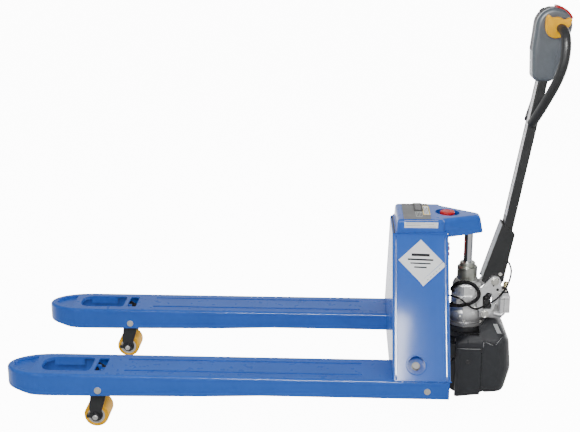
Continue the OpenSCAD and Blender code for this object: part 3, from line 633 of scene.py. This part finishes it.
# corrugated conduit and the thin cable to the tiller
CONDUIT = [(202, -14, 346), (193, -18, 352), (197, -27, 365), (208, -38, 379), (226, -48, 387),
           (246, -50, 385), (265, -53, 371), (273, -56, 352), (266, -58, 335), (246, -62, 323),
           (216, -63, 316), (190, -58, 314), (176, -44, 308), (182, -28, 304), (196, -18, 304)]
CABLE = [(196, -24, 332), (184, -40, 340), (190, -60, 345), (214, -71, 341), (238, -75, 322), (262, -73, 309),
         (294, -64, 318), (328, -58, 338), (352, -55, 368), (366, -44, 396), (371, -32, 422), (365, -18, 441),
         (355, -12, 449)]


CABLE_R = 2.9
CABLE_THIN_R = 2.5      # by the pump, where it passes the disconnect handle when lowered and steered
CABLE_THIN_RINGS = 24


def evenly(points, pitch):
    """Points a fixed distance apart along a curve."""
    fine = spline(points, 40)
    out, carry = [fine[0]], 0.0
    for a, b in zip(fine, fine[1:]):
        carry += (b - a).length
        if carry >= pitch:
            out.append(b)
            carry -= pitch
    return out


path = evenly([at(*p) for p in CONDUIT], 0.0009)
verts, faces = swept(path, lambda i: 5.2 + 0.85 * (i // 2 % 2), 14)
conduit = piece("conduit_ribbed", verts, faces, "cable_rubber", "drive_unit")
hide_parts("cable_conduit")
path = evenly([at(*p) for p in CABLE], 0.004)
verts, faces = swept(path, lambda i: CABLE_THIN_R if i < CABLE_THIN_RINGS else CABLE_R, 12)
mesh_cable = piece("tiller_cable_smooth", verts, faces, "cable_rubber", "drive_unit")
mesh_cable.parent = None
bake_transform(mesh_cable)
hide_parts("tiller_cable")

# ---------- drive cover: label, painted shade of a slot and a dimple, painted highlights on the seams ---
def quad(corners, y, back):
    """Start points of a sticker's rays: four corners in (x, z) at one y, moved back along the rays."""
    (ax, az), (bx, bz), (cx, cz), (dx, dz) = corners
    return lambda s, t: at((ax * (1 - s) + bx * s) * (1 - t) + (dx * (1 - s) + cx * s) * t, y,
                           (az * (1 - s) + bz * s) * (1 - t) + (dz * (1 - s) + cz * s) * t) - back


ASLANT = Vector((0.138, 0.916, -0.373))
label = quad(((322, 250), (335, 250), (350, 218), (337, 218)), -46, ASLANT * 0.3)
verts, faces = draped("cover_dome", label, (6, 12), ASLANT, 0.3)
piece("dome_label", verts, faces, "sticker_grey", "drive_unit")
# black sheet over the cover's slot: painted shade of the slot's opening
slot = quad(((240.6, 213), (243.4, 213), (243.4, 203), (240.6, 203)), -200, Y * 0)
verts, faces = draped("cover_dome", slot, (2, 4), Y, 0.15)
piece("cover_slot_shade", verts, faces, "sticker_black", "drive_unit")
# pale grey lines along the cover's panel joints: painted highlights on the panel edges
seam_highlights = []
for node, line in (("cover_sides", ((210, 186), (234, 185.4), (258, 184.8), (282, 184.2))),
                   ("cover_rear", ((289.4, 191), (289.4, 199), (290.6, 206))),
                   ("cover_rear", ((297, 205.4), (308, 201.4), (320, 197.0))),
                   ("cover_rear", ((328, 199.4), (337, 208.6), (346, 217.8)))):
    found = [hit(node, at(x, -200, z), Y)[0] for x, z in line]
    seam_highlights.append(swept([p for p in found if p is not None], 0.9, 8))
verts, faces = joined(seam_highlights)
piece("cover_seam_highlights", verts, faces, "sticker_grey", "drive_unit")
# darker ringed disc where the cover has a pressed dimple: painted shade of the dimple
dimple_at = hit("cover_sides", at(245, -200, 141), Y)[0]
verts, faces = lathe(dimple_at, (0, -1, 0),
                     [(0, -1), (8, -1), (8, 0.1), (7.2, 0.5), (5.6, 0.5), (5, 0.2), (0, 0.2)], 36)
piece("cover_dimple_shade", verts, faces, "black_plastic", "drive_unit")

# ---------- tiller: front strips ----------
TUBE_LEAN = math.radians(9.6)
TUBE_UP = Vector((math.sin(TUBE_LEAN), 0, math.cos(TUBE_LEAN)))
TUBE_FRONT = Vector((-math.cos(TUBE_LEAN), 0, math.sin(TUBE_LEAN)))


def on_tube(outline, low, high):
    """A plate on the tiller tube's front: outline in (y, distance up from the pivot)."""
    origin = at(322 + 5.5, 0, 388) + TUBE_FRONT * 0.014
    rings = [[origin + Y * a / 1000 + TUBE_UP * b / 1000 + TUBE_FRONT * h / 1000 for a, b in outline]
             for h in (low, high)]
    return rings_mesh(rings)


verts, faces = on_tube(rectangle(-25, 206, 5, 640), 0.05, 0.45)
piece("tube_strip", verts, faces, "sticker_white", "tiller", smooth=False)
rng = random.Random(7)
marks = {"sticker_pink": [], "sticker_grey": []}
b = 214.0
while b < 632:
    mat = "sticker_pink" if rng.random() < 0.45 else "sticker_grey"
    a0 = rng.uniform(-24, -17)
    bar = [(a0, b), (a0 + rng.uniform(10, 20), b + 1.5), (a0 + 12, b + 3.2), (a0, b + 1.8)]
    marks[mat].append(on_tube(bar, 0.45, 0.5))
    b += rng.uniform(6, 13)
for mat, parts in marks.items():
    verts, faces = joined(parts)
    piece(f"tube_strip_{mat[8:]}", verts, faces, mat, "tiller", smooth=False)
WEB_LOW, WEB_HIGH = at(284, 0, 394), at(337, 0, 569)
web_up = (WEB_HIGH - WEB_LOW).normalized()
web_out = Vector((-web_up.z, 0, web_up.x))
outline = [(-26, 4), (20, 4), (20, 180), (-26, 180)]
verts, faces = rings_mesh([[WEB_LOW + (Y * a + web_up * b + web_out * h) / 1000 for a, b in outline]
                           for h in (0.05, 0.4)])
piece("web_strip", verts, faces, "cap_plastic", "tiller", smooth=False)

# ---------- control head ----------
HEAD_ROUNDS = (((455, 1170), 52), ((417, 1096), 21), ((419, 1028), 20), ((445, 1028), 21))
HEAD_HALF = max(abs(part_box("head_near")[0].y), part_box("head_far")[1].y) * 1000
HEAD_EDGE = 12.0
HEAD_SIDES = 144


def wrap(angle, inset=0.0):
    """The head's side outline at an outward angle in degrees, and its normal, in (x, z) mm."""
    u = Vector((math.cos(math.radians(angle)), math.sin(math.radians(angle))))
    centre, radius = max(HEAD_ROUNDS, key=lambda one: Vector(one[0]).dot(u) + one[1])
    return Vector(centre) + u * (radius - inset), u


def head_ring(y, inset):
    ring = []
    for k in range(HEAD_SIDES):
        p, _ = wrap(360 * k / HEAD_SIDES, inset)
        ring.append(at(p.x, y, p.y))
    return ring


for side, word in ((-1, "near"), (1, "far")):
    steps = [(0.25, 0.9), (0.6, 0.25), (1.4, 0.0)]
    steps += [(HEAD_HALF - HEAD_EDGE + HEAD_EDGE * math.sin(a), HEAD_EDGE - HEAD_EDGE * math.cos(a))
              for a in (math.radians(9 * k) for k in range(11))]
    steps.append((HEAD_HALF + 0.3, HEAD_EDGE + 8))
    verts, faces = rings_mesh([head_ring(side * min(y, HEAD_HALF), inset) for y, inset in steps])
    shell = piece(f"head_shell_{word}", verts, faces, "head_plastic", "tiller")
    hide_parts(f"head_{word}")


def ribbon(angles, y0, y1, low, high):
    """A strip laid over the head's outline between two angles."""
    section = ((y0, low), (y1, low), (y1, high), (y0, high))
    rings = []
    last = None
    for a in angles:
        p, u = wrap(a)
        if last is not None and (p - last).length > 6:
            for t in (0.25, 0.5, 0.75):
                q = last.lerp(p, t)
                rings.append([at(q.x + u.x * h, y, q.y + u.y * h) for y, h in section])
        rings.append([at(p.x + u.x * h, y, p.y + u.y * h) for y, h in section])
        last = p
    return rings_mesh(rings)


upper = [100 + 2 * k for k in range(39)]
verts, faces = ribbon(upper, -18.5, 18.5, -1.5, 0.55)
piece("head_front_panel", verts, faces, "black_plastic", "tiller", smooth=False)
lower = [177 + 2 * k for k in range(19)]
verts, faces = ribbon(lower, -24.5, 24.5, -3.0, 0.9)
cap = piece("head_front_cap", verts, faces, "cap_plastic", "tiller", smooth=False, bevel=0.0008)
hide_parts("head_cap")
for side, word in ((-1, "near"), (1, "far")):
    # pale beads along the head's front edges: a painted highlight of the shell's rounded edge
    pts = []
    for a in [98 + 2 * k for k in range(40)]:
        p, u = wrap(a)
        pts.append(at(p.x - 0.9, side * 20.8, p.y - 0.2))
    verts, faces = swept(pts, 1.5, 10)
    piece(f"head_edge_highlight_{word}", verts, faces, "cap_plastic", "tiller")
    groove = [at(x, side * (HEAD_HALF - 0.1), z) for x, z in ((456, 1062), (464, 1090), (474, 1122))]
    verts, faces = swept(spline(groove, 6), 0.7, 8)
    piece(f"head_groove_{word}", verts, faces, "head_plastic", "tiller")
    # loop socket collar
    verts, faces = lathe(at(468, side * (HEAD_HALF - 0.5), 1166), (0, side, 0),
                         [(14.2, 0), (18.5, 0), (18.5, 1.4), (17.3, 2.2), (14.2, 2.2)], 32)
    piece(f"loop_collar_{word}", verts, faces, "black_plastic", "tiller")

# throttle butterfly with rounded edges
GRIP = Vector((468, 1166))
WING = [(-41, 33), (-33, 38), (-24, 31), (-4, 32), (11, 25), (24, 30), (33, 25), (31, 13), (20, -4),
        (14, -18), (4, -26), (-14, -29), (-30, -23), (-40, -10), (-43, 8)]


def closed_spline(points, steps):
    """A smooth closed curve through points."""
    out, n = [], len(points)
    for i in range(n):
        near = [Vector(points[(i + j) % n]) for j in (-1, 0, 1, 2)]
        out += [curve_point(*near, k / steps) for k in range(steps)]
    return out


def inset_by(points, amount):
    """A closed outline moved inward along its own normals (the outline runs clockwise)."""
    out, n = [], len(points)
    for i, p in enumerate(points):
        t = (points[(i + 1) % n] - points[i - 1]).normalized()
        out.append(p + Vector((t.y, -t.x)) * amount)
    return out


wing = closed_spline(WING, 5)
parts = []
for side in (-1, 1):
    rings = []
    for y, inset in ((2.0, 0.8), (2.8, 0.0), (12.5, 0.0), (14.8, 0.5), (16.4, 1.7), (17.3, 3.2), (17.6, 5.0)):
        outline = inset_by(wing, inset * 0.9 + 0.3)
        rings.append([at(GRIP.x + p.x, side * (HEAD_HALF + y), GRIP.y + p.y) for p in outline])
    parts.append(rings_mesh(rings))
verts, faces = joined(parts)
butterfly = piece("butterfly_rounded", verts, faces, "yellow_plastic", "throttle")
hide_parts("throttle_butterfly")

# ---------- camera ----------
CAM_AT = (0.1643, -3.3393, 1.5700)
CAM_YAW = math.radians(-2.679)
CAM_PITCH = math.radians(16.53)
cam_data = bpy.data.cameras.new("camera")
cam_data.lens = 69.9
cam_data.sensor_width = 36
cam = bpy.data.objects.new("camera", cam_data)
bpy.context.collection.objects.link(cam)
cam.location = CAM_AT
cam.rotation_euler = (math.pi / 2 - CAM_PITCH, 0, -CAM_YAW)
bpy.context.scene.camera = cam

# ---------- stage and lights ----------
world = bpy.data.worlds.new("studio")
bpy.context.scene.world = world
world.use_nodes = True
tree = world.node_tree
coord = tree.nodes.new("ShaderNodeTexCoord")
split = tree.nodes.new("ShaderNodeSeparateXYZ")
tree.links.new(coord.outputs["Generated"], split.inputs[0])


def from_to(output, low, high):
    """Map a value to 0..1 between two ends."""
    node = tree.nodes.new("ShaderNodeMapRange")
    node.inputs["From Min"].default_value = low
    node.inputs["From Max"].default_value = high
    tree.links.new(output, node.inputs["Value"])
    return node.outputs["Result"]


def by_height(stops):
    """Brightness by the height component of the direction, given as (height, value)."""
    ramp = tree.nodes.new("ShaderNodeValToRGB")
    for i, (height, value) in enumerate(stops):
        if i > 1:
            ramp.color_ramp.elements.new(height / 2 + 0.5)
        ramp.color_ramp.elements[i].position = height / 2 + 0.5
        ramp.color_ramp.elements[i].color = (value, value, value, 1)
    tree.links.new(from_to(split.outputs["Z"], -1, 1), ramp.inputs["Fac"])
    return ramp.outputs["Color"]


behind = by_height(((-1.0, 0.2), (-0.45, 0.6), (-0.33, 1.0), (-0.2, 1.0), (0.0, 0.7), (0.26, 0.56),
                    (0.36, 0.24), (0.42, 0.16), (1.0, 0.15)))
ahead = by_height(((-1.0, 0.16), (-0.4, 0.30), (-0.05, 0.42), (0.06, 0.055), (1.0, 0.045)))
both_ways = tree.nodes.new("ShaderNodeMix")
both_ways.data_type = "RGBA"
tree.links.new(from_to(split.outputs["Y"], -0.2, 0.2), both_ways.inputs["Factor"])
tree.links.new(ahead, both_ways.inputs[6])
tree.links.new(behind, both_ways.inputs[7])
tree.links.new(both_ways.outputs[2], tree.nodes["Background"].inputs["Color"])
tree.nodes["Background"].inputs["Strength"].default_value = 2.3


def stage_only(obj):
    """Seen by the camera, but it neither lights the object nor shows in its gloss."""
    obj.visible_diffuse = False
    obj.visible_glossy = False
    obj.visible_transmission = False
    obj.visible_shadow = False


PAPER_GLOW = 12.0
bpy.ops.mesh.primitive_plane_add(size=60, location=(0, 0, -0.0005))
floor = bpy.context.object
floor.name = "floor"
floor_shader = Shader("floor_paper")
floor_shader.colour(floor_shader.ramp(floor_shader.noise(3, 3), [(0.3, 0.86), (0.7, 0.90)]))
floor_shader.put(roughness=0.9, emission_color=(1, 1, 1), emission_strength=PAPER_GLOW)
floor.data.materials.append(floor_shader.mat)
stage_only(floor)
bpy.ops.mesh.primitive_uv_sphere_add(radius=28, location=(0, 0, 0), segments=48, ring_count=24)
backdrop = bpy.context.object
backdrop.name = "backdrop"
backdrop_shader = Shader("backdrop_paper")
backdrop_shader.colour(backdrop_shader.ramp(backdrop_shader.noise(1, 2), [(0.3, 0.88), (0.7, 0.90)]))
backdrop_shader.put(roughness=0.9, emission_color=(1, 1, 1), emission_strength=PAPER_GLOW + 0.8)
backdrop.data.materials.append(backdrop_shader.mat)
stage_only(backdrop)


def area_light(name, place, target, size, power, mirrored=True, lighting=True):
    data = bpy.data.lights.new(name, "AREA")
    data.shape = "RECTANGLE"
    data.size, data.size_y = size
    data.energy = power
    light = bpy.data.objects.new(name, data)
    bpy.context.collection.objects.link(light)
    light.location = place
    light.rotation_euler = (Vector(target) - Vector(place)).to_track_quat("-Z", "Y").to_euler()
    light.visible_glossy = mirrored
    light.visible_diffuse = lighting
    return light


area_light("key_softbox", (-0.36, -2.62, 2.02), (0.3, -0.3, 0.25), (1.80, 0.85), 52)
area_light("plate_gleam", (-0.02, -2.52, 2.24), (0.33, -0.3, 0.35), (1.10, 0.72), 210, True, False)
area_light("front_fill", (0.6, -4.2, 1.2), (0.2, 0, 0.4), (3.2, 1.8), 22, False)
area_light("top_soft", (0.2, 0.6, 4.0), (0.1, 0, 0.2), (4.0, 2.6), 62, False)
area_light("strip_right", (2.7, -2.0, 2.2), (0.58, 0, 0.45), (0.40, 2.6), 28)
area_light("strip_left", (-2.4, -2.8, 2.6), (0.2, 0, 0.4), (0.40, 2.4), 20)
area_light("rim_right", (3.0, 2.2, 0.9), (0.6, 0, 0.3), (1.2, 2.4), 80)
